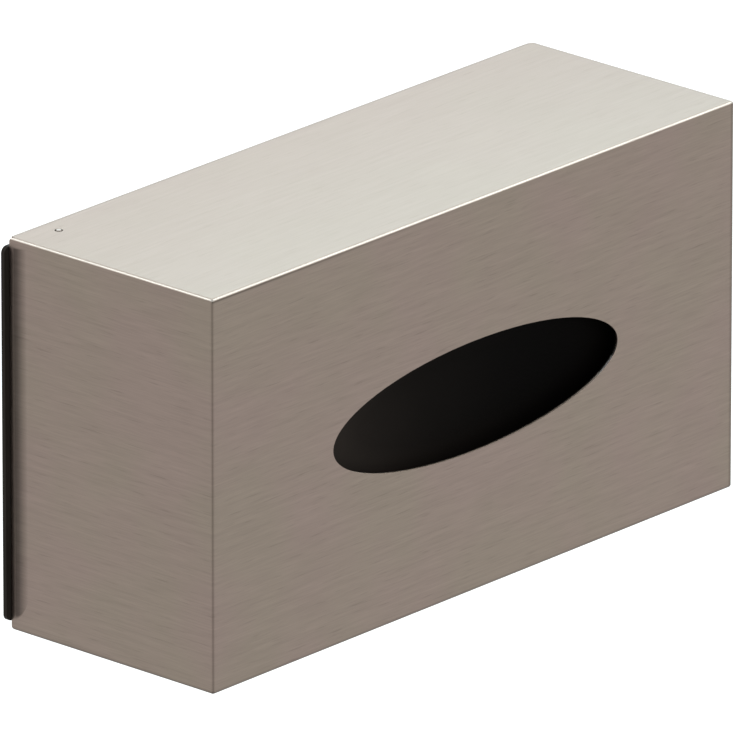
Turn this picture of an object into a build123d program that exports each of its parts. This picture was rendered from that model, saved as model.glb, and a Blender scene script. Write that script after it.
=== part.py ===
from build123d import *
import math
import os

# Wall dispenser for folded paper towels: a steel cover that swings open to the right on two
# vertical pivots, a wall plate, and a moulded tray whose sprung follower pushes the towels
# against the oval outlet.
# Millimetres, +Z up, +X to the right, +Y into the wall. The origin is the centre of the wall
# plate's back face, so the wall is the plane Y = 0.

# Cover, one sheet of stainless steel folded into five panels
cover_width = 260.0
cover_height = 138.0
cover_depth = 90.0
cover_sheet = 1.2
cover_edge_round = 1.0
cover_plate_gap = 0.2
plan_corner_round = 3.5
side_corner_round = 1.5
outlet_width = 142.0
outlet_height = 39.0

# Wall plate, one sheet of steel with four ears bent forward
plate_sheet = 1.5
plate_side_reveal = 2.2
plate_edge_inset = 3.2
ear_edge_inset = 2.4
plate_corner_round = 2.4
plate_bend_inner = 1.0
bend_relief = 1.2
wall_hole = 6.0
wall_hole_spacing_x = 184.0
wall_hole_spacing_z = 88.0

# Pivots, placed from the cover's right side and back edge
pivot_from_side = 8.0
pivot_from_back = 12.0
pin_diameter = 5.0
pin_head_diameter = 6.4
pin_tail = 1.8
bush_wall = 1.0
bush_fit = 0.05
bush_flange_diameter = 10.6
bush_tail = 0.4
clip_thickness = 0.6
clip_diameter = 8.6
clip_band = 1.5
clip_groove_depth = 0.5
clip_play = 0.05
clip_gap = 0.3
clip_mouth = 3.4
clip_prongs = 3
ear_swing_gap = 1.0
ear_neck_width = 14.0
ear_neck_gap = 1.5
ear_inner_round = 2.0

# Latch, placed from the cover's left side and back edge
latch_from_side = 15.8
latch_from_back = 7.6
latch_travel = 2.2
latch_release = 0.8
stud_diameter = 2.0
stud_edge_round = 0.3
stud_hole_gap = 0.4
stud_bore_gap = 0.1
collar_diameter = 5.0
collar_height = 1.0
collar_gap = 0.2
collar_rest_gap = 0.05
barrel_wall = 1.8
barrel_ceiling = 1.0
barrel_spigot = 6.5
barrel_flare = 0.5
barrel_flare_height = 0.3
latch_spring_wire = 0.4
latch_spring_coils = 4.5
latch_spring_length = 4.4
spring_seat_gap = 0.03
spring_pin_length = 1.7
spring_pin_gap = 0.35
cap_plug = 1.2
cap_flange = 0.8
latch_ear_margin = 6.8
latch_ear_front = 5.2
latch_ear_round = 3.0

# Nylon glides that the closed cover rests on
glide_from_latch = 11.6
glide_diameter = 8.0
glide_stem = 4.0
glide_barb = 0.4
glide_barb_height = 1.2
glide_edge_round = 0.4
pad_clearance = 0.2

# Towel tray, moulded in one piece
tray_side_gap = 16.4
tray_latch_gap = 0.6
tray_front_gap = 2.0
tray_wall = 2.0
tray_corner_round = 4.0
tray_front_round = 0.8
tray_standoff = 3.0
lip_width = 7.0
lip_thickness = 2.0
lip_corner_round = 6.0
slot_height = 8.0
slot_end_gap = 0.5
driver_hole = 14.0
rail_height = 2.0
rail_from_slot = 4.0
rail_past_slot = 4.0
rail_end_gap = 6.0
back_rib_width = 1.8
back_rib_spacing = 22.0
back_rib_count = 3
back_rib_length = 84.0

# Fixings of the tray
stud_spacing_x = 80.0
stud_spacing_z = 84.0
fixing_diameter = 4.0
fixing_head_diameter = 6.6
fixing_head_height = 1.0
fixing_hole_gap = 0.2
fixing_tail = 1.6
fixing_boss = 10.0
washer_diameter = 9.0
washer_thickness = 0.8
nut_flats = 7.0
nut_height = 3.2
nut_thread_gap = 0.02

# Follower and its springs
follower_travel = 60.0
follower_sheet = 2.2
follower_side_gap = 1.5
follower_end_gap = 1.0
follower_lip_gap = 0.3
follower_rim_depth = 8.0
follower_rim_wall = 1.8
follower_corner_round = 3.0
follower_front_round = 0.8
follower_rib_width = 1.6
follower_rib_depth = 5.0
cup_wall = 1.5
cup_gap = 1.0
cup_depth = 8.0
spring_spacing = 100.0
spring_outer = 22.0
spring_wire = 1.0
spring_coils = 8.0
end_coil_gap = 0.55
seat_gap = 0.3
seat_height = 4.0

# Slide shoes that carry the follower in the tray's slots
lug_length = 6.0
lug_height = 4.0
lug_play = 0.05
lug_tail = 0.6
shoe_slot_gap = 0.2
shoe_wall_gap = 0.2
shoe_flange = 1.0
shoe_flange_height = 11.0
shoe_end_wall = 1.5

# Rubber buffers between the tray and the closed cover
buffer_diameter = 6.0
buffer_gap = 0.2
buffer_edge_round = 0.8

# Sides of the springs' wire, points a turn where their gaps are measured, and how far a cutter
# runs past the cover
wire_sides = 6
gap_point_count = 48
spare = 1.0

# Places that follow from the sizes above
cover_side = cover_width / 2
cover_top = cover_height / 2
cover_back = -(plate_sheet + cover_plate_gap)
cover_front = cover_back - cover_depth
inner_side = cover_side - cover_sheet
inner_top = cover_top - cover_sheet
inner_front = cover_front + cover_sheet

plate_side = cover_side + plate_side_reveal
plate_top = cover_top - plate_edge_inset
ear_top = cover_top - ear_edge_inset
plate_bend = plate_bend_inner + plate_sheet
ear_under = ear_top - plate_sheet
pad_height = inner_top - ear_top - pad_clearance

pivot_x = cover_side - pivot_from_side
pivot_y = cover_back - pivot_from_back
arm_half = pivot_from_side - cover_sheet - ear_swing_gap
neck_right = pivot_x - (pivot_from_back - plan_corner_round) - ear_neck_gap
neck_left = neck_right - ear_neck_width
bush_radius = pin_diameter / 2 + bush_fit + bush_wall
bush_bottom = ear_under - bush_tail
clip_top = bush_bottom - clip_gap
clip_bottom = clip_top - clip_thickness
pin_bottom = clip_bottom - clip_play - pin_tail

latch_x = -cover_side + latch_from_side
latch_y = cover_back - latch_from_back
stud_radius = stud_diameter / 2
stud_top = inner_top - latch_release + latch_travel
chamber_top = ear_top - barrel_ceiling
collar_top = chamber_top - collar_rest_gap
collar_bottom = collar_top - collar_height
latch_spring_bottom = collar_bottom - spring_seat_gap - latch_spring_length
cap_top = latch_spring_bottom - spring_seat_gap
barrel_bottom = cap_top - cap_plug
cap_bottom = barrel_bottom - cap_flange
chamber_radius = collar_diameter / 2 + collar_gap
barrel_radius = chamber_radius + barrel_wall
latch_coil = collar_diameter / 2 - collar_gap - latch_spring_wire / 2
latch_ear_left = latch_x - latch_ear_margin
latch_ear_right = latch_x + glide_from_latch + latch_ear_margin

tray_side = inner_side - tray_side_gap
tray_top = cap_bottom - tray_latch_gap
tray_front = inner_front + tray_front_gap
tray_back = -(plate_sheet + tray_standoff)
tray_floor = tray_back - tray_wall
tray_inner_side = tray_side - tray_wall
tray_inner_top = tray_top - tray_wall
lip_back = tray_front + lip_thickness

follower_front = lip_back + follower_lip_gap
follower_back = follower_front + follower_sheet
follower_rim = follower_front + follower_rim_depth
follower_side = tray_inner_side - follower_side_gap
follower_top = tray_inner_top - follower_end_gap
lug_back = follower_rim - lug_tail
lug_front = lug_back - lug_length
shoe_front = lug_front - lug_play - shoe_end_wall
shoe_back = lug_back + lug_play + shoe_end_wall
slot_front = shoe_front - slot_end_gap
slot_back = shoe_back + follower_travel + slot_end_gap


def box_between(low, high):
    """A block between two opposite corners."""
    centre = [(a + b) / 2 for a, b in zip(low, high)]
    return Pos(*centre) * Box(*[b - a for a, b in zip(low, high)])


def upright(x, y, low, high, radius):
    """A round bar along Z."""
    return Pos(x, y, (low + high) / 2) * Cylinder(radius, high - low)


def level(x, z, front, back, radius):
    """A round bar along Y."""
    return Pos(x, (front + back) / 2, z) * Rot(90, 0, 0) * Cylinder(radius, back - front)


def flat_shape(outline, front, back):
    """An outline drawn on X and Z, filled from one Y to another."""
    return extrude(Plane.XZ.offset(-back) * outline, back - front)


def four_places(spacing_x, spacing_z):
    """The corners of a rectangle centred on the origin, as pairs of X and Z."""
    return [(x * spacing_x / 2, z * spacing_z / 2) for x in (-1, 1) for z in (-1, 1)]


def below(shape):
    """The same shape at the bottom of the dispenser."""
    return mirror(shape, about=Plane.XY)


def corner_cut():
    """What rounding the back right corner of the panels takes away, over the whole height."""
    x, y = cover_side - plan_corner_round, cover_back - plan_corner_round
    low, high = -cover_top - spare, cover_top + spare
    block = box_between((x, y, low), (cover_side + spare, 0, high))
    return block - upright(x, y, low, high, plan_corner_round)


def side_corner_cut():
    """What rounding the upper back corner of the left panel takes away."""
    y, z = cover_back - side_corner_round, cover_top - side_corner_round
    block = box_between((-cover_side - spare, y, z), (-inner_side, 0, cover_top + spare))
    rod = Cylinder(side_corner_round, 2 * (cover_sheet + spare))
    return block - Pos(-cover_side, y, z) * Rot(0, 90, 0) * rod


def cover_shell():
    """The folded cover, with ground corner seams, the outlet and the holes of its hardware."""
    shell = box_between((-cover_side, cover_front, -cover_top), (cover_side, cover_back, cover_top))
    folds = shell.edges().filter_by(Axis.Y) + shell.faces().sort_by(Axis.Y)[0].edges()
    shell = fillet(folds, cover_edge_round)
    shell -= box_between((-inner_side, inner_front, -inner_top), (inner_side, 0, inner_top))
    outlet = Ellipse(outlet_width / 2, outlet_height / 2)
    shell -= flat_shape(outlet, cover_front - spare, inner_front + spare)
    shell -= box_between(
        (inner_side - spare, cover_back - plan_corner_round, -inner_top), (cover_side + spare, 0, inner_top)
    )
    shell -= corner_cut()
    for cut in (side_corner_cut(), pivot_head()):
        shell -= cut
        shell -= below(cut)
    stud_hole = stud_radius + stud_hole_gap
    return shell - upright(latch_x, latch_y, inner_top - spare, cover_top + spare, stud_hole)


def pivot_head():
    """The countersunk head of the upper pivot pin, which fills its hole in the top panel."""
    cone = Cone(pin_diameter / 2, pin_head_diameter / 2, cover_sheet)
    return Pos(pivot_x, pivot_y, (inner_top + cover_top) / 2) * cone


def pivot_pin():
    """Upper pin: a flush head in the panel, a shank through the bush, a groove for its clip."""
    shank = upright(pivot_x, pivot_y, pin_bottom, inner_top, pin_diameter / 2)
    shank = chamfer(shank.edges().sort_by(Axis.Z)[0], clip_groove_depth)
    low, high = clip_bottom - clip_play, clip_top + clip_play
    groove = upright(pivot_x, pivot_y, low, high, pin_diameter)
    groove -= upright(pivot_x, pivot_y, low, high, pin_diameter / 2 - clip_groove_depth)
    return shank + pivot_head() - groove


def pivot_bush():
    """Upper bush: a flange on the ear, under the panel, and a sleeve through the ear."""
    bush = upright(pivot_x, pivot_y, bush_bottom, ear_top, bush_radius)
    bush += upright(pivot_x, pivot_y, ear_top, ear_top + pad_height, bush_flange_diameter / 2)
    return bush - upright(pivot_x, pivot_y, bush_bottom, inner_top, pin_diameter / 2 + bush_fit)


def pivot_clip():
    """Upper clip: an open ring with prongs that reach into the pin's groove, one opposite its mouth."""
    inner = clip_diameter / 2 - clip_band
    outline = Circle(clip_diameter / 2) - Circle(inner)
    for prong in range(clip_prongs):
        bar = Pos(clip_diameter / 4, 0) * Rectangle(clip_diameter / 2 - clip_play, clip_band)
        outline += Rot(0, 0, 360 / clip_prongs * prong - 90) * bar
    outline -= Circle(pin_diameter / 2 - clip_groove_depth + clip_play)
    outline -= Pos(0, clip_diameter / 2) * Rectangle(clip_mouth, clip_diameter)
    return Pos(pivot_x, pivot_y, clip_bottom) * extrude(outline, clip_thickness)


def pivot_ear_outline():
    """Plan of a pivot ear: a neck clear of the swinging side panel, and an arm to the pivot."""
    front = pivot_y - arm_half
    neck = Pos((neck_left + neck_right) / 2, (front - plate_bend) / 2) * Rectangle(
        ear_neck_width, -plate_bend - front
    )
    arm = Pos((neck_left + pivot_x) / 2, pivot_y) * Rectangle(pivot_x - neck_left, 2 * arm_half)
    outline = neck + arm + Pos(pivot_x, pivot_y) * Circle(arm_half)
    inside = outline.vertices().sort_by_distance((neck_right, pivot_y + arm_half, 0))[0]
    outline = fillet(inside, ear_inner_round)
    return outline - Pos(pivot_x, pivot_y) * Circle(bush_radius)


def rest_ear_outline():
    """Plan of the left ears, with the hole of a glide's stem."""
    front = latch_y - latch_ear_front
    width = latch_ear_right - latch_ear_left
    outline = Pos((latch_ear_left + latch_ear_right) / 2, (front - plate_bend) / 2) * Rectangle(
        width, -plate_bend - front
    )
    outline = fillet(outline.vertices().group_by(Axis.Y)[0], latch_ear_round)
    return outline - Pos(latch_x + glide_from_latch, latch_y) * Circle(glide_stem / 2)


def bent_ear(left, right, outline):
    """An ear of the plate's top edge: the bend and the flat that it carries."""
    flat = extrude(Pos(0, 0, ear_under) * outline, plate_sheet)
    width = right - left
    tube = Cylinder(plate_bend, width) - Cylinder(plate_bend_inner, width)
    bend = Pos((left + right) / 2, -plate_bend, ear_top - plate_bend) * Rot(0, 90, 0) * tube
    bend &= box_between((left, -plate_bend, ear_top - plate_bend), (right, 0, ear_top))
    return flat + bend


def ear_cut(left, right):
    """What the bending of an ear takes out of the flat plate, with a relief on each side."""
    return box_between(
        (left - bend_relief, -plate_sheet, ear_top - plate_bend), (right + bend_relief, 0, ear_top)
    )


def wall_plate():
    """The plate that is screwed to the wall, with its ears, wall holes and stud holes."""
    plate = flat_shape(
        RectangleRounded(2 * plate_side, 2 * plate_top, plate_corner_round), -plate_sheet, 0
    )
    rest_outline = rest_ear_outline()
    latch_outline = rest_outline - Pos(latch_x, latch_y) * Circle(barrel_spigot / 2)
    pivot_outline = pivot_ear_outline()
    plate -= ear_cut(neck_left, neck_right)
    plate -= ear_cut(latch_ear_left, latch_ear_right)
    plate -= below(ear_cut(neck_left, neck_right))
    plate -= below(ear_cut(latch_ear_left, latch_ear_right))
    plate += bent_ear(neck_left, neck_right, pivot_outline)
    plate += bent_ear(latch_ear_left, latch_ear_right, latch_outline)
    plate += below(bent_ear(neck_left, neck_right, pivot_outline))
    plate += below(bent_ear(latch_ear_left, latch_ear_right, rest_outline))
    for x, z in four_places(wall_hole_spacing_x, wall_hole_spacing_z):
        plate -= level(x, z, -plate_sheet, 0, wall_hole / 2)
    for x, z in four_places(stud_spacing_x, stud_spacing_z):
        plate -= level(x, z, -plate_sheet, 0, fixing_diameter / 2)
        plate -= level(x, z, -fixing_head_height, 0, fixing_head_diameter / 2)
    return plate


def latch_barrel():
    """The turned housing under the latch ear, its spigot flared over the ear."""
    barrel = upright(latch_x, latch_y, barrel_bottom, ear_under, barrel_radius)
    barrel += upright(latch_x, latch_y, ear_under, ear_top, barrel_spigot / 2)
    barrel += upright(
        latch_x, latch_y, ear_top, ear_top + barrel_flare_height, barrel_spigot / 2 + barrel_flare
    )
    barrel -= upright(latch_x, latch_y, barrel_bottom, chamber_top, chamber_radius)
    return barrel - upright(latch_x, latch_y, chamber_top, inner_top, stud_radius + stud_bore_gap)


def latch_plunger():
    """The stud that locks the cover: a stem, a collar and a pin inside the spring."""
    stem = upright(latch_x, latch_y, collar_bottom, stud_top, stud_radius)
    stem = fillet(stem.edges().sort_by(Axis.Z)[-1], stud_edge_round)
    collar = upright(latch_x, latch_y, collar_bottom, collar_top, collar_diameter / 2)
    guide_radius = latch_coil - latch_spring_wire / 2 - spring_pin_gap
    guide = upright(latch_x, latch_y, collar_bottom - spring_pin_length, collar_bottom, guide_radius)
    guide = chamfer(guide.edges().sort_by(Axis.Z)[0], spring_pin_gap)
    return stem + collar + guide


def latch_cap():
    """The plug pressed into the barrel, which carries the spring."""
    plug = upright(latch_x, latch_y, barrel_bottom, cap_top, chamber_radius)
    return plug + upright(latch_x, latch_y, cap_bottom, barrel_bottom, barrel_radius)


def biarc(start, leave, end, arrive):
    """Two arcs that meet smoothly, from one point and direction to another."""
    chord = end - start
    both = leave + arrive
    bend = 2 * (1 - leave.dot(arrive))
    reach = (math.sqrt(chord.dot(both) ** 2 + bend * chord.dot(chord)) - chord.dot(both)) / bend
    first = start + leave * reach
    last = end - arrive * reach
    middle = (first + last) / 2
    return [
        TangentArc(start, middle, tangent=leave),
        TangentArc(middle, end, tangent=(last - first).normalized()),
    ]


def coil_spring(name, radius, wire, coils, length, end_pitch):
    """A wound spring that stands on Z = 0, in half turns that are each a pair of arcs. Its first
    and last turns are wound closer, at the end pitch."""
    pitch = (length - wire - 2 * end_pitch) / (coils - 2)
    round_turn = 2 * math.pi * radius

    def height(turn):
        nearest = min(turn, coils - turn)
        rise = wire / 2 + end_pitch * min(nearest, 1) + pitch * max(nearest - 1, 0)
        return rise if turn <= coils / 2 else length - rise

    def place(turn):
        angle = 2 * math.pi * turn
        return Vector(radius * math.cos(angle), radius * math.sin(angle), height(turn))

    def heading(turn):
        before, after = max(turn - 1 / 4, 0), min(turn + 1 / 4, coils)
        slope = (height(after) - height(before)) / (after - before)
        angle = 2 * math.pi * turn
        return Vector(-round_turn * math.sin(angle), round_turn * math.cos(angle), slope).normalized()

    turns = [half / 2 for half in range(round(2 * coils) + 1)]
    arcs = []
    for turn, after in zip(turns, turns[1:]):
        arcs += biarc(place(turn), heading(turn), place(after), heading(after))
    path = Wire(arcs)
    print_least_gap(name, path, wire, coils)
    section = Plane(origin=path @ 0, z_dir=path % 0) * RegularPolygon(wire / 2, wire_sides)
    return sweep(section, path=path)


def print_least_gap(name, path, wire, coils):
    """Print how near a spring's turns come to each other, measured on points of its centre line."""
    steps = round(gap_point_count * coils)
    points = [path @ (step / steps) for step in range(steps + 1)]
    half_turn = round(gap_point_count / 2)
    gap = min(
        (points[later] - points[step]).length
        for step in range(steps + 1)
        for later in range(step + half_turn, steps + 1)
    )
    print(f"{name}: least gap between turns {gap - wire:.2f} mm")


def latch_spring():
    """The spring under the plunger's collar, of even pitch."""
    pitch = (latch_spring_length - latch_spring_wire) / latch_spring_coils
    spring = coil_spring(
        "latch_spring", latch_coil, latch_spring_wire, latch_spring_coils, latch_spring_length, pitch
    )
    return Pos(latch_x, latch_y, latch_spring_bottom) * spring


def follower_spring(name, side):
    """One spring between the tray's back wall and the follower."""
    length = tray_floor - follower_back - 2 * spring_seat_gap
    radius = (spring_outer - spring_wire) / 2
    spring = coil_spring(name, radius, spring_wire, spring_coils, length, spring_wire + end_coil_gap)
    return Pos(side * spring_spacing / 2, tray_floor - spring_seat_gap, 0) * Rot(90, 0, 0) * spring


def glide():
    """Upper glide: a low button on the ear, its stem through the ear and a barb below."""
    x = latch_x + glide_from_latch
    head = upright(x, latch_y, ear_top, ear_top + pad_height, glide_diameter / 2)
    head = chamfer(head.edges().sort_by(Axis.Z)[-1], glide_edge_round)
    stem = upright(x, latch_y, ear_under, ear_top, glide_stem / 2)
    barb = Cone(glide_stem / 2 - glide_barb, glide_stem / 2 + glide_barb, glide_barb_height)
    return head + stem + Pos(x, latch_y, ear_under - glide_barb_height / 2) * barb


def towel_tray():
    """The moulded tray: walls, lips that hold the stack, side slots, seats and bosses."""
    tray = box_between((-tray_side, tray_front, -tray_top), (tray_side, tray_back, tray_top))
    tray = fillet(tray.edges().filter_by(Axis.Y), tray_corner_round)
    tray = fillet(tray.faces().sort_by(Axis.Y)[0].edges(), tray_front_round)
    inner_round = tray_corner_round - tray_wall
    tray -= flat_shape(
        RectangleRounded(2 * tray_inner_side, 2 * tray_inner_top, inner_round), lip_back, tray_floor
    )
    mouth = RectangleRounded(
        2 * (tray_inner_side - lip_width), 2 * (tray_inner_top - lip_width), lip_corner_round
    )
    tray -= flat_shape(mouth, tray_front, lip_back)
    slot = Plane.YZ * Pos((slot_front + slot_back) / 2, 0) * SlotOverall(slot_back - slot_front, slot_height)
    tray -= extrude(slot, tray_side, both=True)
    tray += tray_rails()
    tray += tray_back_ribs()
    for side in (-1, 1):
        seat = spring_outer / 2 - spring_wire - seat_gap
        tray += level(side * spring_spacing / 2, 0, tray_floor - seat_height, tray_floor, seat)
    for x, z in four_places(stud_spacing_x, stud_spacing_z):
        tray += level(x, z, tray_back, -plate_sheet, fixing_boss / 2)
        tray -= level(x, z, tray_floor, -plate_sheet, fixing_diameter / 2 + fixing_hole_gap)
    for x, z in four_places(wall_hole_spacing_x, wall_hole_spacing_z):
        tray -= level(x, z, tray_floor, tray_back, driver_hole / 2)
    return tray


def tray_rails():
    """Two rails on each side wall that stiffen it beside its slot."""
    rails = []
    low = slot_height / 2 + rail_from_slot - rail_height / 2
    for side in (-1, 1):
        for end in (-1, 1):
            corners = [
                (side * (tray_side - tray_wall / 2), tray_front + rail_end_gap, end * low),
                (side * (tray_side + rail_height), slot_back + rail_past_slot, end * (low + rail_height)),
            ]
            near = [min(pair) for pair in zip(*corners)]
            far = [max(pair) for pair in zip(*corners)]
            rails.append(box_between(near, far))
    return rails


def tray_back_ribs():
    """Upright ribs behind the tray's back wall, between its bosses."""
    ribs = []
    for index in range(back_rib_count):
        x = (index - (back_rib_count - 1) / 2) * back_rib_spacing
        ribs.append(
            box_between(
                (x - back_rib_width / 2, tray_back, -back_rib_length / 2),
                (x + back_rib_width / 2, -plate_sheet, back_rib_length / 2),
            )
        )
    return ribs


def tray_studs():
    """Four studs pressed flush into the plate from behind."""
    end = tray_floor - washer_thickness - nut_height - fixing_tail
    studs = []
    for x, z in four_places(stud_spacing_x, stud_spacing_z):
        shank = level(x, z, end, -fixing_head_height, fixing_diameter / 2)
        shank = chamfer(shank.edges().sort_by(Axis.Y)[0], fixing_hole_gap)
        studs.append(shank + level(x, z, -fixing_head_height, 0, fixing_head_diameter / 2))
    return Compound(children=studs)


def tray_washers():
    """A washer on each stud."""
    washers = []
    for x, z in four_places(stud_spacing_x, stud_spacing_z):
        front = tray_floor - washer_thickness
        ring = level(x, z, front, tray_floor, washer_diameter / 2)
        washers.append(ring - level(x, z, front, tray_floor, fixing_diameter / 2 + fixing_hole_gap))
    return Compound(children=washers)


def tray_nuts():
    """A hexagon nut on each stud, its corners taken off by a cone as on a turned nut."""
    front = tray_floor - washer_thickness - nut_height
    corner = nut_flats / math.sqrt(3)
    hexagon = RegularPolygon(nut_flats / 2, 6, major_radius=False)
    hexagon -= Circle(fixing_diameter / 2 + nut_thread_gap)
    bevel = corner - nut_flats / 2
    cone = Cylinder(corner, nut_height)
    cone = chamfer(cone.edges().sort_by(Axis.Z)[-1], bevel)
    nuts = []
    for x, z in four_places(stud_spacing_x, stud_spacing_z):
        nut = Pos(x, 0, z) * flat_shape(hexagon, front, front + nut_height)
        nuts.append(nut & Pos(x, front + nut_height / 2, z) * Rot(90, 0, 0) * cone)
    return Compound(children=nuts)


def follower_plate():
    """The follower: a rimmed plate with ribs, two spring cups and a lug on each side."""
    plate = box_between(
        (-follower_side, follower_front, -follower_top), (follower_side, follower_rim, follower_top)
    )
    plate = fillet(plate.edges().filter_by(Axis.Y), follower_corner_round)
    plate = fillet(plate.faces().sort_by(Axis.Y)[0].edges(), follower_front_round)
    inner_round = follower_corner_round - follower_rim_wall
    hollow = RectangleRounded(
        2 * (follower_side - follower_rim_wall), 2 * (follower_top - follower_rim_wall), inner_round
    )
    plate -= flat_shape(hollow, follower_back, follower_rim)
    plate += follower_ribs()
    cup_inner = spring_outer / 2 + cup_gap
    for side in (-1, 1):
        x = side * spring_spacing / 2
        plate += level(x, 0, follower_back, follower_back + cup_depth, cup_inner + cup_wall)
        plate -= level(x, 0, follower_back, follower_back + cup_depth, cup_inner)
    for side in (-1, 1):
        end = side * (tray_side + shoe_wall_gap + shoe_flange)
        start = side * (follower_side - follower_rim_wall)
        plate += box_between(
            (min(start, end), lug_front, -lug_height / 2), (max(start, end), lug_back, lug_height / 2)
        )
    return plate


def follower_ribs():
    """Ribs on the follower's back: one along it, and one across through each cup and the middle."""
    deep = follower_back + follower_rib_depth
    reach_x = follower_side - follower_rim_wall / 2
    reach_z = follower_top - follower_rim_wall / 2
    half = follower_rib_width / 2
    ribs = [box_between((-reach_x, follower_back, -half), (reach_x, deep, half))]
    for x in (-spring_spacing / 2, 0, spring_spacing / 2):
        ribs.append(box_between((x - half, follower_back, -reach_z), (x + half, deep, reach_z)))
    return ribs


def follower_shoes():
    """A nylon shoe over each lug: a block in the slot, with a flange each side of the tray's wall."""
    shoes = []
    for side in (-1, 1):
        inside = tray_inner_side - shoe_wall_gap
        outside = tray_side + shoe_wall_gap
        middle = (shoe_front + shoe_back) / 2
        length = shoe_back - shoe_front
        block = SlotOverall(length, slot_height - 2 * shoe_slot_gap)
        flange = RectangleRounded(length, shoe_flange_height, shoe_end_wall)
        shoe = extrude(Plane.YZ.offset(inside) * Pos(middle, 0) * block, outside - inside)
        shoe += extrude(Plane.YZ.offset(inside - shoe_flange) * Pos(middle, 0) * flange, shoe_flange)
        shoe += extrude(Plane.YZ.offset(outside) * Pos(middle, 0) * flange, shoe_flange)
        shoe -= box_between(
            (0, lug_front - lug_play, -lug_height / 2 - lug_play),
            (cover_side, lug_back + lug_play, lug_height / 2 + lug_play),
        )
        shoes.append(shoe if side > 0 else mirror(shoe, about=Plane.YZ))
    return Compound(children=shoes)


def cover_buffers():
    """Four rubber buttons stuck on the corners of the tray's lips."""
    front = inner_front + buffer_gap
    buffers = []
    centre_in = tray_wall + lip_width / 2
    for x, z in four_places(2 * (tray_side - centre_in), 2 * (tray_top - centre_in)):
        button = level(x, z, front, tray_front, buffer_diameter / 2)
        buffers.append(chamfer(button.edges().sort_by(Axis.Y)[0], buffer_edge_round))
    return Compound(children=buffers)


parts = {
    "wall_plate": wall_plate(),
    "tray_studs": tray_studs(),
    "tray_washers": tray_washers(),
    "tray_nuts": tray_nuts(),
    "towel_tray": towel_tray(),
    "follower_plate": follower_plate(),
    "follower_shoes": follower_shoes(),
    "follower_spring_left": follower_spring("follower_spring_left", -1),
    "follower_spring_right": follower_spring("follower_spring_right", 1),
    "cover_shell": cover_shell(),
    "upper_pivot_pin": pivot_pin(),
    "lower_pivot_pin": below(pivot_pin()),
    "upper_pivot_bush": pivot_bush(),
    "lower_pivot_bush": below(pivot_bush()),
    "upper_pivot_clip": pivot_clip(),
    "lower_pivot_clip": below(pivot_clip()),
    "latch_barrel": latch_barrel(),
    "latch_cap": latch_cap(),
    "latch_plunger": latch_plunger(),
    "latch_spring": latch_spring(),
    "upper_glide": glide(),
    "lower_glide": below(glide()),
    "cover_buffers": cover_buffers(),
}

os.makedirs("parts", exist_ok=True)
for name, shape in parts.items():
    export_step(shape, f"parts/{name}.step")
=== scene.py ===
import math

import bmesh
import bpy
from mathutils import Matrix, Vector


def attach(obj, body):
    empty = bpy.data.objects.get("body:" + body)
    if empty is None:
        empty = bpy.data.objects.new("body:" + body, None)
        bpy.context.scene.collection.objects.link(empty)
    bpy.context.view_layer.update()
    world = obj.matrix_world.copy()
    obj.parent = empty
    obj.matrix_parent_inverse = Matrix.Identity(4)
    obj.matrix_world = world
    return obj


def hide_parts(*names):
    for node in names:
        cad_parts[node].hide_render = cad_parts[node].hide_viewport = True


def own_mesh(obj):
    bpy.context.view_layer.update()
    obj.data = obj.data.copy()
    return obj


# Looks of a wall dispenser for folded paper towels. Lengths are in metres and the frame is the
# part's own: +X to the right, +Y into the wall, +Z up. The outlet's middle is at X = 0 and Z = 0.

# Cover: where its front panel lies, its depth, half width and top, and the top of the wall plate
FRONT_Y = -0.0917
COVER_DEPTH = 0.090
COVER_SIDE = 0.130
COVER_TOP = 0.069
PLATE_TOP = 0.0658

# Camera, fitted to the corners of the box in the photograph
AZIMUTH = math.radians(48.186)
ELEVATION = math.radians(20.315)
DISTANCE = 6.7127
LENS_MM = 988.5
SENSOR_MM = 36.0
AIM_RIGHT = -0.002560
AIM_UP = -0.001290

# Springs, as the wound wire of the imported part
FOLLOWER_SPRING = dict(
    radius=0.0105, wire=0.001, coils=8.0, end_pitch=0.00155, start_y=-0.00653, end_y=-0.08397
)
FOLLOWER_SPRING_X = 0.050
LATCH_PLACE = (-0.1142, -0.0093)
LATCH_SPRING = dict(
    radius=0.0021, wire=0.0004, coils=4.5, end_pitch=0.000889, low_z=0.06012, high_z=0.06452
)
STATIONS_PER_TURN = 32
WIRE_SIDES = 10

# A face looks along an axis where its normal's share of that axis is over this
FACING = 0.7
# The part of a noise's range where nearly all of its values lie
NOISE_RANGE = (0.3, 0.7)

# Brushed steel: two tones in a wide mottle, its gloss and the depth of its grain
STEEL_WARM = (0.242, 0.191, 0.166)
STEEL_OLIVE = (0.235, 0.195, 0.161)
MOTTLE_SCALE = 24.0
MOTTLE_RANGE = (0.38, 0.62)
STEEL_ANISOTROPY = 0.6
STEEL_ROUGHNESS = 0.40
STEEL_RELIEF = 0.00004

# Its grain in three layers: how many features there are to a metre along and across the sheet, the
# noise's seed and detail, the part of the noise's range that is used, and the tone that it gives
FINE_GRAIN = dict(
    along=80.0, across=2000.0, seed=3.0, detail=2.0, used=NOISE_RANGE, tone=(-0.05, 0.05)
)
BROAD_GRAIN = dict(
    along=30.0, across=620.0, seed=11.0, detail=2.0, used=NOISE_RANGE, tone=(-0.03, 0.03)
)
SCRATCHES = dict(
    along=95.0, across=1500.0, seed=23.0, detail=1.0, used=(0.62, 0.76), tone=(0.0, 0.09)
)
# The share of the grain that shows on level faces
LEVEL_GRAIN = 0.4

# The top's painted light: a lighter colour of its own at its front and a darker one at its back,
# the turn of a face in which it comes in, the share of it, and its run of painted light from the
# left end, lighter, past the middle to the right end, darker
TOP_LIT_FRONT = (0.2516, 0.2148, 0.1774)
TOP_SHADED_BACK = (0.2295, 0.1826, 0.1498)
TOP_TURN = (0.3, 0.7)
TOP_SHARE = 0.8
TOP_LIT_LEFT = 1.03
TOP_SHADED_RIGHT = 0.955
TOP_SHADE_START = 0.040

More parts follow.
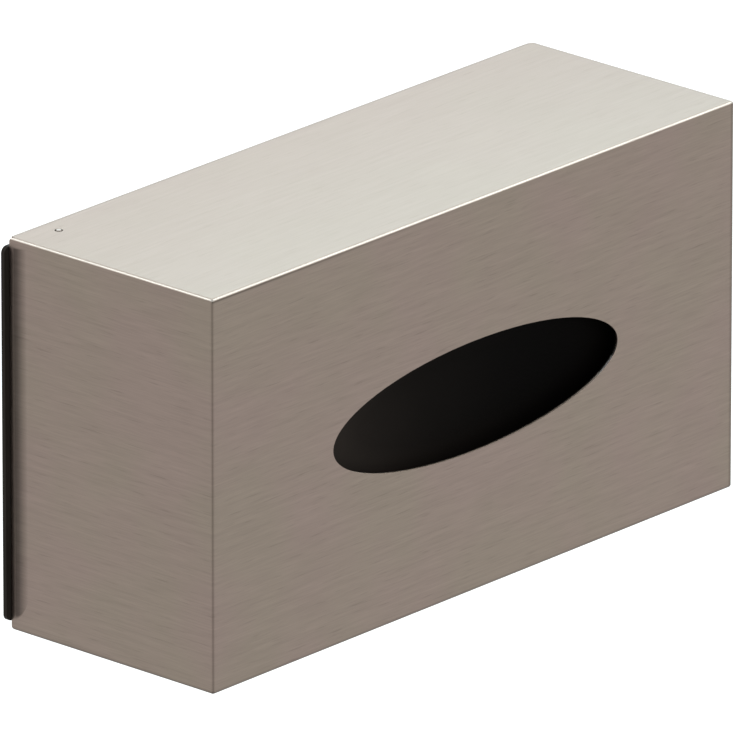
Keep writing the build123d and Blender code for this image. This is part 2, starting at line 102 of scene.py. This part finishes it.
# A face starts to look up, down or right at the first of these shares of its normal, and wholly
# does at the second
TURN_START = 0.1
TURN_END = 0.35

# Folds, by flatness, which is 1 on a panel and 0.71 in the middle of a fold. The folds round the
# top get painted highlights, bright crests with a colour of their own. Upright folds get painted
# shade, and those that are turned away, down or right, are darkest. Each tone is added to 1.
FOLD_RANGE = (0.985, 0.82)
CREST_HIGHLIGHT_COLOUR = (0.242, 0.2316, 0.2121)
CREST_RANGE = (0.999, 0.87)
CREST_PAINTED_HIGHLIGHT = 0.82
UPRIGHT_RANGE = (0.95, 0.74)
UPRIGHT_PAINTED_SHADE = -0.32
AWAY_PAINTED_SHADE = -0.6

# The painted shadow line on the front under the top's fold: how far below the top its lower edge
# starts and is whole, the run in which it fades to the right, and its shade
LINE_START = 0.0016
LINE_WHOLE = 0.0011
LINE_RUN = (-0.105, 0.0)
PAINTED_LINE_SHADE = 0.56

# The painted reflection of the plate, a darker band along the back of each side where the plate
# would show in the steel: its two soft edges as distances from the cover's back, its shade, and
# its soft ends as heights above the plate's top and below its bottom. The lower end bends up with
# the plate's corner from a distance on.
BAND_BACK = (0.0012, 0.0022)
BAND_FRONT = (0.0033, 0.0076)
PLATE_REFLECTION_SHADE = 0.37
BAND_TOP = (-0.0008, 0.0004)
BAND_BOTTOM = (-0.0026, -0.0010)
BEND_START = 0.0015
BEND_CURVE = 200.0

# Painted shade on the rims, as distances from the cover's right side, bottom and back, and their
# shades: first those of the upright faces, then the top's
RIM_RIGHT = (0.0022, 0.0008)
RIM_BOTTOM = (0.0004, 0.0015)
RIM_SHADE = 0.6
TOP_RIM_BACK = (0.0004, 0.0013)
TOP_RIM_RIGHT = (0.0018, 0.0010)
TOP_RIM_SHADE = 0.84

# The outlet's cut edge: how far from the outlet's middle and how deep it is looked for, the share
# of a normal under which a face isn't the front, and its painted light and painted shade on the
# two sides of the sheet's middle
OUTLET_REACH_X = 0.080
OUTLET_REACH_Z = 0.030
SHEET_REACH = 0.0013
CUT_FACING = 0.5
CUT_MIDDLE = (0.0005, 0.0007)
CUT_PAINTED_LIGHT = 2.8
CUT_PAINTED_SHADE = 0.15

# Other finishes
TURNED_COLOUR = (0.235, 0.202, 0.178)
COAT_COLOUR = (0.0262, 0.0224, 0.0188)
TRAY_COLOUR = (0.0205, 0.0190, 0.0175)
FOLLOWER_COLOUR = (0.0205, 0.0170, 0.0147)
NYLON_TONES = ((0.80, 0.77, 0.69), (0.72, 0.69, 0.60))
ZINC_TONES = ((0.43, 0.455, 0.50), (0.52, 0.50, 0.43))
WIRE_TONES = ((0.42, 0.41, 0.39), (0.27, 0.25, 0.23))
RUBBER_TONES = ((0.016, 0.016, 0.016), (0.05, 0.047, 0.043))

# Painted light on the follower: it falls from the left to the right by a power of a straight run,
# down to a least share, with a trace more at the right end and a step between the halves
LIGHT_FALL_RUN = (-0.060, 0.060)
LIGHT_FALL_SHARES = (1.0, 0.44)
LIGHT_FALL_POWER = 5.5
LIGHT_FALL_LEAST = 0.045
RIGHT_END_LIGHT_RUN = (0.050, 0.068)
RIGHT_END_LIGHT = 0.03
LIGHT_STEP_RUN = (0.0, 0.035)
LIGHT_STEP_SHARES = (1.1, 0.87)
# The oval round the outlet, a little left of it, outside which painted light lifts the cover's
# shade: its middle and half sizes, the distances from its middle, in half sizes, between which the
# painted light comes in, and how many times more of it lies outside
LIFT_OVAL_X = -0.006
LIFT_OVAL_HALF_WIDTH = 0.071
LIFT_OVAL_HALF_HEIGHT = 0.0195
LIFT_OVAL_RANGE = (0.65, 1.2)
OUTSIDE_PAINTED_LIGHT = 2.0

# Surround, floor and lamps. A lamp's azimuth in degrees is 0 behind the object and 90 on its
# right, and its radiance is that of its face, where 1 shows as white.
WHITE = (1.0, 1.0, 1.0)
WORLD_LEVEL = 0.55
FLOOR_SIZE = 24.0
FLOOR_Z = -0.45
FLOOR_COLOUR = (0.8, 0.8, 0.79)
FLOOR_GLOW = 0.35
LAMP_DISTANCE = 3.2
COOL = (0.8025, 0.949, 1.0)
LAMPS = {
    "back_lamp": dict(azimuth=48, elevation=27, size=(2.4, 1.6), radiance=2.568, tint=COOL),
    "left_lamp": dict(azimuth=-29, elevation=44, size=(1.8, 1.4), radiance=3.6, tint=WHITE),
    "right_lamp": dict(azimuth=116, elevation=39, size=(1.8, 1.4), radiance=3.6, tint=WHITE),
    "top_lamp": dict(azimuth=48, elevation=85, size=(2.6, 2.2), radiance=0.6, tint=WHITE),
}


class Surface:
    """A material, its main shader and short ways to add nodes to it. Where a method takes a value,
    it takes a socket or a plain number, vector or colour."""

    def __init__(self, name, **sockets):
        self.material = bpy.data.materials.new(name)
        self.material.use_nodes = True
        self.tree = self.material.node_tree
        self.shader = self.tree.nodes["Principled BSDF"]
        coordinates = self.tree.nodes.new("ShaderNodeTexCoord")
        self.place = coordinates.outputs["Object"]
        self.normal = coordinates.outputs["Normal"]
        for socket, value in sockets.items():
            self.feed(value, socket.replace("_", " "))

    def wire(self, value, socket):
        """Feed a socket with another socket, or set it to a plain value."""
        if isinstance(value, bpy.types.NodeSocket):
            self.tree.links.new(value, socket)
        elif socket.type == "RGBA":
            socket.default_value = (*value, 1.0)
        else:
            socket.default_value = value

    def feed(self, value, name):
        """Feed one of the main shader's sockets."""
        self.wire(value, self.shader.inputs[name])

    def math(self, operation, first, *others):
        """An operation on one value, or on several in turn from left to right."""
        for other in others or (0.0,):
            node = self.tree.nodes.new("ShaderNodeMath")
            node.operation = operation
            self.wire(first, node.inputs[0])
            self.wire(other, node.inputs[1])
            first = node.outputs[0]
        return first

    def spread(self, value, low, high, start=0.0, end=1.0):
        """The value's range from low to high, laid out from start to end and cut off there."""
        node = self.tree.nodes.new("ShaderNodeMapRange")
        for number, socket in zip((value, low, high, start, end), node.inputs):
            self.wire(number, socket)
        return node.outputs[0]

    def between(self, share, first, second):
        """A number that runs from the first to the second as the share runs from 0 to 1."""
        return self.spread(share, 0.0, 1.0, first, second)

    def tone(self, noise, least, most):
        """A number that runs from least to most over the range that a noise really has."""
        return self.spread(noise, *NOISE_RANGE, least, most)

    def parts(self, vector):
        """The three parts of a vector."""
        node = self.tree.nodes.new("ShaderNodeSeparateXYZ")
        self.wire(vector, node.inputs[0])
        return node.outputs

    def join(self, x, y, z):
        """A vector of three parts."""
        node = self.tree.nodes.new("ShaderNodeCombineXYZ")
        for value, socket in zip((x, y, z), node.inputs):
            self.wire(value, socket)
        return node.outputs[0]

    def length(self, vector):
        """A vector's length."""
        node = self.tree.nodes.new("ShaderNodeVectorMath")
        node.operation = "LENGTH"
        self.wire(vector, node.inputs[0])
        return node.outputs["Value"]

    def scaled(self, colour, factor):
        """A colour made lighter or darker by a factor."""
        node = self.tree.nodes.new("ShaderNodeVectorMath")
        node.operation = "SCALE"
        self.wire(colour, node.inputs[0])
        self.wire(factor, node.inputs["Scale"])
        return node.outputs[0]

    def mix(self, share, first, second):
        """A colour between two others. The node's colours come after its numbers and vectors."""
        node = self.tree.nodes.new("ShaderNodeMix")
        node.data_type = "RGBA"
        first_colour, second_colour = node.inputs[6:8]
        self.wire(share, node.inputs[0])
        self.wire(first, first_colour)
        self.wire(second, second_colour)
        return node.outputs[2]

    def noise(self, vector, scale=1.0, detail=2.0, roughness=0.5):
        """A noise with so many features to one unit of the vector."""
        node = self.tree.nodes.new("ShaderNodeTexNoise")
        self.wire(vector, node.inputs["Vector"])
        node.inputs["Scale"].default_value = scale
        node.inputs["Detail"].default_value = detail
        node.inputs["Roughness"].default_value = roughness
        return node.outputs["Fac"]

    def cloud(self, **looks):
        """A noise laid out by the piece's own coordinates."""
        return self.noise(self.place, **looks)

    def bump(self, height, distance):
        """Relief of the surface, so deep where the height changes by 1."""
        node = self.tree.nodes.new("ShaderNodeBump")
        node.inputs["Distance"].default_value = distance
        node.inputs["Strength"].default_value = 1.0
        self.wire(height, node.inputs["Height"])
        self.feed(node.outputs[0], "Normal")


class SteelSheet(Surface):
    """Brushed stainless, and where on the cover a point of it lies and which way it faces."""

    def __init__(self):
        super().__init__("brushed_stainless", Metallic=1.0, Anisotropic=STEEL_ANISOTROPY)
        self.x, y, self.z = self.parts(self.place)
        self.normal_x, self.normal_y, self.normal_z = self.parts(self.normal)
        self.depth = self.math("SUBTRACT", y, FRONT_Y)
        self.from_back = self.math("SUBTRACT", COVER_DEPTH, self.depth)
        size_x, size_y, size_z = (
            self.math("ABSOLUTE", part) for part in (self.normal_x, self.normal_y, self.normal_z)
        )
        self.flatness = self.math("MAXIMUM", size_x, size_y, size_z)
        self.is_side = self.math("GREATER_THAN", size_x, FACING)
        self.not_side = self.math("SUBTRACT", 1.0, self.is_side)
        self.is_level = self.math("GREATER_THAN", size_z, FACING)
        self.not_front = self.math("LESS_THAN", size_y, CUT_FACING)
        self.on_top = self.spread(self.normal_z, TURN_START, TURN_END)
        self.fold = self.spread(self.flatness, *FOLD_RANGE)
        side_run = self.math("MULTIPLY", self.math("SIGN", self.x), self.depth, self.is_side)
        level_run = self.math("MULTIPLY", self.math("SIGN", self.z), self.depth, self.not_side)
        self.along = self.math("ADD", self.x, side_run)
        self.across = self.math("ADD", self.z, level_run)

    def grain(self, along, across, seed, detail, used, tone):
        """One layer of the grain, which follows the sheet round its folds."""
        streaks = self.join(
            self.math("MULTIPLY", self.along, along),
            self.math("MULTIPLY", self.across, across), seed,
        )
        light = self.spread(self.noise(streaks, detail=detail), *used, *tone)
        return self.math("MULTIPLY", self.between(self.is_level, 1.0, LEVEL_GRAIN), light)

    def tint(self):
        """The steel's colour: mottled, with the top's painted light and the painted highlight
        colour of its top folds.
        """
        mottle = self.cloud(scale=MOTTLE_SCALE)
        tint = self.mix(self.spread(mottle, *MOTTLE_RANGE), STEEL_WARM, STEEL_OLIVE)
        # The top's painted light: lighter at its front and left end, darker at its back and right
        # end
        top = self.mix(self.spread(self.depth, 0.0, COVER_DEPTH), TOP_LIT_FRONT, TOP_SHADED_BACK)
        top_run = self.math(
            "MULTIPLY", self.spread(self.x, -COVER_SIDE, 0.0, TOP_LIT_LEFT, 1.0),
            self.spread(self.x, TOP_SHADE_START, COVER_SIDE, 1.0, TOP_SHADED_RIGHT),
        )
        top_share = self.spread(self.normal_z, *TOP_TURN, 0.0, TOP_SHARE)
        tint = self.mix(top_share, tint, self.scaled(top, top_run))
        # Painted highlight colour on the folds round the top
        return self.mix(self.math("MULTIPLY", self.fold, self.on_top), tint, CREST_HIGHLIGHT_COLOUR)

    def painted_fold_light(self):
        """Painted highlights on the folds round the top, painted shade on the others, darkest where
        they turn away.
        """
        turned_away = self.math(
            "MAXIMUM", self.spread(self.normal_z, -TURN_START, -TURN_END),
            self.spread(self.normal_x, TURN_START, TURN_END),
        )
        upright = self.spread(self.flatness, *UPRIGHT_RANGE, 0.0, UPRIGHT_PAINTED_SHADE)
        away = self.math("MULTIPLY", self.fold, AWAY_PAINTED_SHADE)
        crest = self.spread(self.flatness, *CREST_RANGE, 0.0, CREST_PAINTED_HIGHLIGHT)
        tone = self.between(self.on_top, self.between(turned_away, upright, away), crest)
        return self.math("ADD", 1.0, tone)

    def painted_shadow_under_fold(self):
        """The thin painted shadow line on the front just under the top's fold."""
        line = self.math(
            "MULTIPLY", self.spread(self.z, COVER_TOP - LINE_START, COVER_TOP - LINE_WHOLE),
            self.math("LESS_THAN", self.normal_y, -FACING), self.math("SUBTRACT", 1.0, self.on_top),
            self.spread(self.x, *LINE_RUN, 1.0, 0.0),
        )
        return self.between(line, 1.0, PAINTED_LINE_SHADE)

    def painted_plate_reflection(self):
        """The painted reflection of the plate: a darker band along the back of each side."""
        past_bend = self.math("MAXIMUM", self.math("SUBTRACT", self.from_back, BEND_START), 0.0)
        bend = self.math("MULTIPLY", past_bend, past_bend, BEND_CURVE)
        plate_top = [PLATE_TOP + offset for offset in BAND_TOP]
        plate_bottom = [PLATE_TOP + offset for offset in BAND_BOTTOM]
        return self.math(
            "MAXIMUM", self.spread(self.from_back, *BAND_BACK, 1.0, PLATE_REFLECTION_SHADE),
            self.spread(self.from_back, *BAND_FRONT, PLATE_REFLECTION_SHADE, 1.0),
            self.spread(self.z, *plate_top),
            self.spread(self.math("SUBTRACT", bend, self.z), *plate_bottom),
            self.not_side,
        )

    def painted_rim_shade(self):
        """Painted shade on the rims: right and bottom on the upright faces, back and right on the
        top.
        """
        right = [COVER_SIDE - distance for distance in RIM_RIGHT]
        top_right = [COVER_SIDE - distance for distance in TOP_RIM_RIGHT]
        bottom = [distance - COVER_TOP for distance in RIM_BOTTOM]
        upright_rim = self.math(
            "MULTIPLY", self.spread(self.x, *right, 1.0, RIM_SHADE),
            self.spread(self.z, *bottom, RIM_SHADE, 1.0),
        )
        top_rim = self.math(
            "MULTIPLY", self.spread(self.from_back, *TOP_RIM_BACK, TOP_RIM_SHADE, 1.0),
            self.spread(self.x, *top_right, 1.0, TOP_RIM_SHADE),
        )
        return self.between(self.is_level, upright_rim, top_rim)

    def painted_cut_edge(self):
        """The outlet's cut edge, with painted light in its outer half and painted shade in its
        inner half.
        """
        cut = self.math(
            "MULTIPLY", self.math("LESS_THAN", self.math("ABSOLUTE", self.x), OUTLET_REACH_X),
            self.math("LESS_THAN", self.math("ABSOLUTE", self.z), OUTLET_REACH_Z),
            self.math("LESS_THAN", self.depth, SHEET_REACH), self.not_front,
        )
        return self.between(cut, 1.0, self.spread(self.depth, *CUT_MIDDLE, CUT_PAINTED_LIGHT, CUT_PAINTED_SHADE))

    def across_grain(self):
        """The direction across the grain, turned with the piece."""
        turned = self.tree.nodes.new("ShaderNodeVectorTransform")
        turned.vector_type = "VECTOR"
        turned.convert_from, turned.convert_to = "OBJECT", "WORLD"
        not_level = self.math("SUBTRACT", 1.0, self.is_level)
        self.wire(self.join(0.0, self.is_level, not_level), turned.inputs[0])
        return turned.outputs[0]


def brushed_steel():
    """Sheet stainless with a fine grain that follows the sheet round its folds."""
    steel = SteelSheet()
    fine, broad, scratch = (steel.grain(**layer) for layer in (FINE_GRAIN, BROAD_GRAIN, SCRATCHES))
    grain_light = steel.math("SUBTRACT", steel.math("ADD", 1.0, fine, broad), scratch)
    # The grain's tone times painted highlights and shade on the folds, a painted shadow line, a
    # painted reflection of the plate, painted rim shade and painted light and shade on the cut edge
    light = steel.math(
        "MULTIPLY", grain_light, steel.painted_fold_light(), steel.painted_shadow_under_fold(), steel.painted_plate_reflection(),
        steel.painted_rim_shade(), steel.painted_cut_edge(),
    )
    steel.feed(steel.scaled(steel.tint(), light), "Base Color")
    rougher = steel.math("SUBTRACT", scratch, broad)
    steel.feed(steel.math("ADD", STEEL_ROUGHNESS, rougher), "Roughness")
    steel.bump(steel.math("SUBTRACT", fine, scratch), STEEL_RELIEF)
    steel.feed(steel.across_grain(), "Tangent")
    return steel.material


def turned_steel():
    """Stainless studs, barrels and clips, with the rings that turning leaves."""
    steel = Surface("turned_stainless", Metallic=1.0)
    rings_to_a_metre = 4000.0
    z = steel.parts(steel.place)[2]
    rings = steel.noise(steel.join(0.0, 0.0, steel.math("MULTIPLY", z, rings_to_a_metre)))
    speck = steel.cloud(scale=900.0, detail=3.0)
    steel.feed(steel.scaled(TURNED_COLOUR, steel.between(rings, 0.92, 1.06)), "Base Color")
    steel.feed(steel.between(speck, 0.20, 0.34), "Roughness")
    steel.bump(rings, distance=0.000008)
    return steel.material


def powder_coat():
    """Black powder coat with its fine orange peel."""
    coat = Surface("black_powder_coat", Specular_IOR_Level=0.03)
    peel = coat.cloud(scale=700.0, detail=3.0, roughness=0.6)
    shade = coat.tone(coat.cloud(scale=30.0), least=0.85, most=1.2)
    coat.feed(coat.scaled(COAT_COLOUR, shade), "Base Color")
    coat.feed(coat.tone(peel, least=0.36, most=0.5), "Roughness")
    coat.bump(peel, distance=0.00006)
    return coat.material


def mould(plastic, colour):
    """Finish black moulded plastic, with the flow of its tone and a fine eroded texture."""
    flow = plastic.tone(plastic.cloud(scale=18.0, detail=3.0), least=0.85, most=1.15)
    grain = plastic.cloud(scale=1600.0, roughness=0.6)
    plastic.feed(plastic.scaled(colour, flow), "Base Color")
    plastic.feed(plastic.tone(grain, least=0.5, most=0.66), "Roughness")
    plastic.bump(grain, distance=0.00003)
    return plastic.material


def tray_moulding():
    """Black moulded plastic."""
    return mould(Surface("black_moulding", Specular_IOR_Level=0.12), TRAY_COLOUR)


def follower_moulding():
    """Matt black plastic with painted light: lighter on its left and dark on its right, and lighter
    outside the oval round the outlet, which lies in the cover's shade."""
    plastic = Surface("matt_black_moulding", Specular_IOR_Level=0.015)
    x, _, z = plastic.parts(plastic.place)
    # Painted light, falling from the left to the right
    fall = plastic.math("POWER", plastic.spread(x, *LIGHT_FALL_RUN, *LIGHT_FALL_SHARES), LIGHT_FALL_POWER)
    dust_and_painted_light = plastic.math(
        "ADD", LIGHT_FALL_LEAST, plastic.math("MULTIPLY", fall, 1.0 - LIGHT_FALL_LEAST),
        plastic.spread(x, *RIGHT_END_LIGHT_RUN, 0.0, RIGHT_END_LIGHT),
    )
    # Painted light outside the oval round the outlet, which lifts the cover's shade there
    outward = plastic.join(
        plastic.math("DIVIDE", plastic.math("SUBTRACT", x, LIFT_OVAL_X), LIFT_OVAL_HALF_WIDTH), 0.0,
        plastic.math("DIVIDE", z, LIFT_OVAL_HALF_HEIGHT),
    )
    dust_and_painted_light = plastic.math(
        "MULTIPLY", dust_and_painted_light, plastic.spread(x, *LIGHT_STEP_RUN, *LIGHT_STEP_SHARES),
        plastic.spread(plastic.length(outward), *LIFT_OVAL_RANGE, 1.0, OUTSIDE_PAINTED_LIGHT),
    )
    return mould(plastic, plastic.scaled(FOLLOWER_COLOUR, dust_and_painted_light))


def nylon():
    """Natural nylon, slightly milky."""
    plastic = Surface("natural_nylon", Subsurface_Weight=0.15, Subsurface_Scale=0.0015)
    cloud = plastic.cloud(scale=260.0, detail=3.0)
    plastic.feed(plastic.mix(cloud, *NYLON_TONES), "Base Color")
    plastic.feed(plastic.tone(cloud, least=0.38, most=0.52), "Roughness")
    plastic.bump(plastic.cloud(scale=1500.0), distance=0.00001)
    return plastic.material


def zinc():
    """Bright zinc plate with its faint clouds of blue and straw."""
    plate = Surface("bright_zinc", Metallic=1.0)
    cloud = plate.cloud(scale=240.0, detail=3.0)
    plate.feed(plate.mix(plate.spread(cloud, low=0.35, high=0.65), *ZINC_TONES), "Base Color")
    plate.feed(plate.tone(plate.cloud(scale=1800.0), least=0.24, most=0.4), "Roughness")
    plate.bump(plate.cloud(scale=2600.0), distance=0.00001)
    return plate.material


def spring_wire():
    """Drawn spring wire, dark where its oil has stayed."""
    wire = Surface("spring_wire", Metallic=1.0)
    stain = wire.cloud(scale=160.0, detail=3.0)
    wire.feed(wire.mix(wire.spread(stain, low=0.35, high=0.7), *WIRE_TONES), "Base Color")
    wire.feed(wire.tone(stain, least=0.26, most=0.42), "Roughness")
    wire.bump(wire.cloud(scale=2400.0), distance=0.00001)
    return wire.material


def rubber():
    """Matt black rubber with a little dust."""
    soft = Surface("black_rubber", Specular_IOR_Level=0.2)
    dust_and_painted_light = soft.cloud(scale=900.0, detail=4.0, roughness=0.7)
    soft.feed(soft.mix(soft.spread(dust_and_painted_light, low=0.5, high=0.8, end=0.5), *RUBBER_TONES), "Base Color")
    soft.feed(soft.tone(dust_and_painted_light, least=0.7, most=0.85), "Roughness")
    soft.bump(dust_and_painted_light, distance=0.00002)
    return soft.material


def dress_nodes(frame):
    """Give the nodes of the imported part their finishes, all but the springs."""
    finishes = {
        brushed_steel(): ["cover_shell", "upper_pivot_pin", "lower_pivot_pin"],
        powder_coat(): ["wall_plate"],
        tray_moulding(): ["towel_tray"],
        follower_moulding(): ["follower_plate"],
        nylon(): [
            "upper_pivot_bush", "lower_pivot_bush", "follower_shoes", "upper_glide", "lower_glide",
        ],
        turned_steel(): [
            "latch_barrel", "latch_cap", "latch_plunger", "upper_pivot_clip", "lower_pivot_clip",
        ],
        zinc(): ["tray_studs", "tray_washers", "tray_nuts"],
        rubber(): ["cover_buffers"],
    }
    for material, names in finishes.items():
        for name in names:
            for slot in frame["nodes"][name].material_slots:
                slot.material = material


def new_piece(name, mesh, material, body):
    """A piece of the scene that rides on a body and takes its finish from a slot."""
    piece = bpy.data.objects.new(name, mesh)
    bpy.context.scene.collection.objects.link(piece)
    mesh.materials.append(material)
    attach(piece, body)
    return piece


def coil_height(turn, spring):
    """How far along its axis a spring has risen, with close turns at both ends."""
    length = spring["length"]
    pitch = (length - spring["wire"] - 2 * spring["end_pitch"]) / (spring["coils"] - 2)
    nearest = min(turn, spring["coils"] - turn)
    rise = spring["wire"] / 2 + spring["end_pitch"] * min(nearest, 1) + pitch * max(nearest - 1, 0)
    return rise if turn <= spring["coils"] / 2 else length - rise


def coil_mesh(name, spring, place):
    """A round wire wound along +Z from Z = 0 and cut off flat, then put in its place."""
    stations = round(spring["coils"] * STATIONS_PER_TURN)
    radius, wire = spring["radius"], spring["wire"]
    mesh = bmesh.new()
    rings = []
    for station in range(stations + 1):
        turn = station / STATIONS_PER_TURN
        angle = 2 * math.pi * turn
        outward = Vector((math.cos(angle), math.sin(angle), 0))
        centre = outward * radius + Vector((0, 0, coil_height(turn, spring)))
        ring = []
        for side in range(WIRE_SIDES):
            around = 2 * math.pi * side / WIRE_SIDES
            offset = outward * math.cos(around) + Vector((0, 0, math.sin(around)))
            ring.append(mesh.verts.new(place @ (centre + offset * wire / 2)))
        rings.append(ring)
    for ring, after in zip(rings, rings[1:]):
        for side in range(WIRE_SIDES):
            near = (side + 1) % WIRE_SIDES
            mesh.faces.new((ring[side], ring[near], after[near], after[side]))
    mesh.faces.new(rings[0])
    mesh.faces.new(rings[-1])
    bmesh.ops.recalc_face_normals(mesh, faces=mesh.faces)
    for face in mesh.faces:
        face.smooth = len(face.verts) == 4
    made = bpy.data.meshes.new(name)
    mesh.to_mesh(made)
    mesh.free()
    return made


def follower_springs(material):
    """The two springs behind the follower, drawn as wound wire of one length."""
    start, end = FOLLOWER_SPRING["start_y"], FOLLOWER_SPRING["end_y"]
    length = start - end
    spring = dict(FOLLOWER_SPRING, length=length)
    forward = Matrix.Rotation(math.pi / 2, 4, "X")
    for side, name in ((-1, "left"), (1, "right")):
        place = Matrix.Translation((side * FOLLOWER_SPRING_X, start, 0)) @ forward
        mesh = coil_mesh(f"spring_{name}_wire", spring, place)
        piece = new_piece(f"spring_{name}_wire", mesh, material, "root")
        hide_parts(f"follower_spring_{name}")
        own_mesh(piece)


def latch_spring(material):
    """The small spring in the latch's barrel, drawn as wound wire of one length."""
    low, high = LATCH_SPRING["low_z"], LATCH_SPRING["high_z"]
    spring = dict(LATCH_SPRING, length=high - low)
    mesh = coil_mesh("latch_spring_wire", spring, Matrix.Translation((*LATCH_PLACE, low)))
    piece = new_piece("latch_spring_wire", mesh, material, "root")
    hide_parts("latch_spring")
    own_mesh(piece)


def direction(azimuth, elevation):
    """The direction at these angles in radians: azimuth 0 is +Y, and a quarter turn on is +X."""
    level = math.cos(elevation)
    return Vector((math.sin(azimuth) * level, math.cos(azimuth) * level, math.sin(elevation)))


def place_camera():
    """The photograph's camera, aimed from far away with a long lens."""
    forward = direction(AZIMUTH, -ELEVATION)
    right = forward.cross(Vector((0, 0, 1))).normalized()
    up = right.cross(forward)
    centre = Vector((0, FRONT_Y + COVER_DEPTH / 2, 0))
    data = bpy.data.cameras.new("camera")
    data.sensor_width = SENSOR_MM
    data.lens = LENS_MM
    data.clip_start, data.clip_end = 0.1, 100.0
    camera = bpy.data.objects.new("camera", data)
    turn = Matrix((right, up, -forward)).transposed().to_4x4()
    camera.matrix_world = (
        Matrix.Translation(centre - forward * DISTANCE + right * AIM_RIGHT + up * AIM_UP) @ turn
    )
    bpy.context.scene.collection.objects.link(camera)
    bpy.context.scene.camera = camera


def background_share(tree):
    """1 for rays of the camera, of gloss and of glass, which see the plain background."""
    path = tree.nodes.new("ShaderNodeLightPath")
    share = path.outputs["Is Camera Ray"]
    for name in ("Is Glossy Ray", "Is Transmission Ray"):
        most = tree.nodes.new("ShaderNodeMath")
        most.operation = "MAXIMUM"
        tree.links.new(share, most.inputs[0])
        tree.links.new(path.outputs[name], most.inputs[1])
        share = most.outputs[0]
    return share


def light_world():
    """A plain pale surround that shows white."""
    world = bpy.data.worlds.new("surround")
    world.use_nodes = True
    bpy.context.scene.world = world
    tree = world.node_tree
    background = tree.nodes["Background"]
    background.inputs["Color"].default_value = (*WHITE, 1.0)
    level = tree.nodes.new("ShaderNodeMapRange")
    tree.links.new(background_share(tree), level.inputs["Value"])
    level.inputs["To Min"].default_value = WORLD_LEVEL
    level.inputs["To Max"].default_value = 1.0
    tree.links.new(level.outputs[0], background.inputs["Strength"])


def lay_floor():
    """A plain pale floor, well below the object, that shows white and keeps its shadow. It is clear
    from below, so that the underside can be looked at."""
    mesh = bpy.data.meshes.new("floor")
    half = FLOOR_SIZE / 2
    corners = [(x * half, y * half, FLOOR_Z) for x, y in ((-1, -1), (1, -1), (1, 1), (-1, 1))]
    mesh.from_pydata(corners, [], [(0, 1, 2, 3)])
    floor = bpy.data.objects.new("floor", mesh)
    bpy.context.scene.collection.objects.link(floor)
    ground = Surface("pale_floor", Roughness=0.9, Specular_IOR_Level=0.0)
    ground.feed(FLOOR_COLOUR, "Base Color")
    ground.feed(WHITE, "Emission Color")
    glow = ground.math("MULTIPLY", background_share(ground.tree), FLOOR_GLOW)
    ground.feed(glow, "Emission Strength")
    from_below = ground.tree.nodes.new("ShaderNodeNewGeometry").outputs["Backfacing"]
    ground.feed(ground.math("SUBTRACT", 1.0, from_below), "Alpha")
    mesh.materials.append(ground.material)


def soft_lamp(name, azimuth, elevation, size, radiance, tint):
    """A soft box aimed at the object."""
    data = bpy.data.lights.new(name, "AREA")
    data.shape = "RECTANGLE"
    width, height = size
    data.size, data.size_y = width, height
    data.energy = radiance * math.pi * width * height
    data.color = tint
    lamp = bpy.data.objects.new(name, data)
    outward = direction(math.radians(azimuth), math.radians(elevation))
    aim = (-outward).to_track_quat("-Z", "Y").to_matrix().to_4x4()
    lamp.matrix_world = Matrix.Translation(outward * LAMP_DISTANCE) @ aim
    bpy.context.scene.collection.objects.link(lamp)


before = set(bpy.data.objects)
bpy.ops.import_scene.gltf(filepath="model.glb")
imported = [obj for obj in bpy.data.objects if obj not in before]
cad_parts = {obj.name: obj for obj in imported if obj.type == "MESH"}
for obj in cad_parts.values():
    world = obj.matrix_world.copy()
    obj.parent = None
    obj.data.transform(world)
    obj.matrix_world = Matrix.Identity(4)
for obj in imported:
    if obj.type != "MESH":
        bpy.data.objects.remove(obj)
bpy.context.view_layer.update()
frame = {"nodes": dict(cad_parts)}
bpy.context.scene.view_settings.view_transform = "Standard"
place_camera()
light_world()
lay_floor()
for name, looks in LAMPS.items():
    soft_lamp(name, **looks)
dress_nodes(frame)
wire_finish = spring_wire()
follower_springs(wire_finish)
latch_spring(wire_finish)
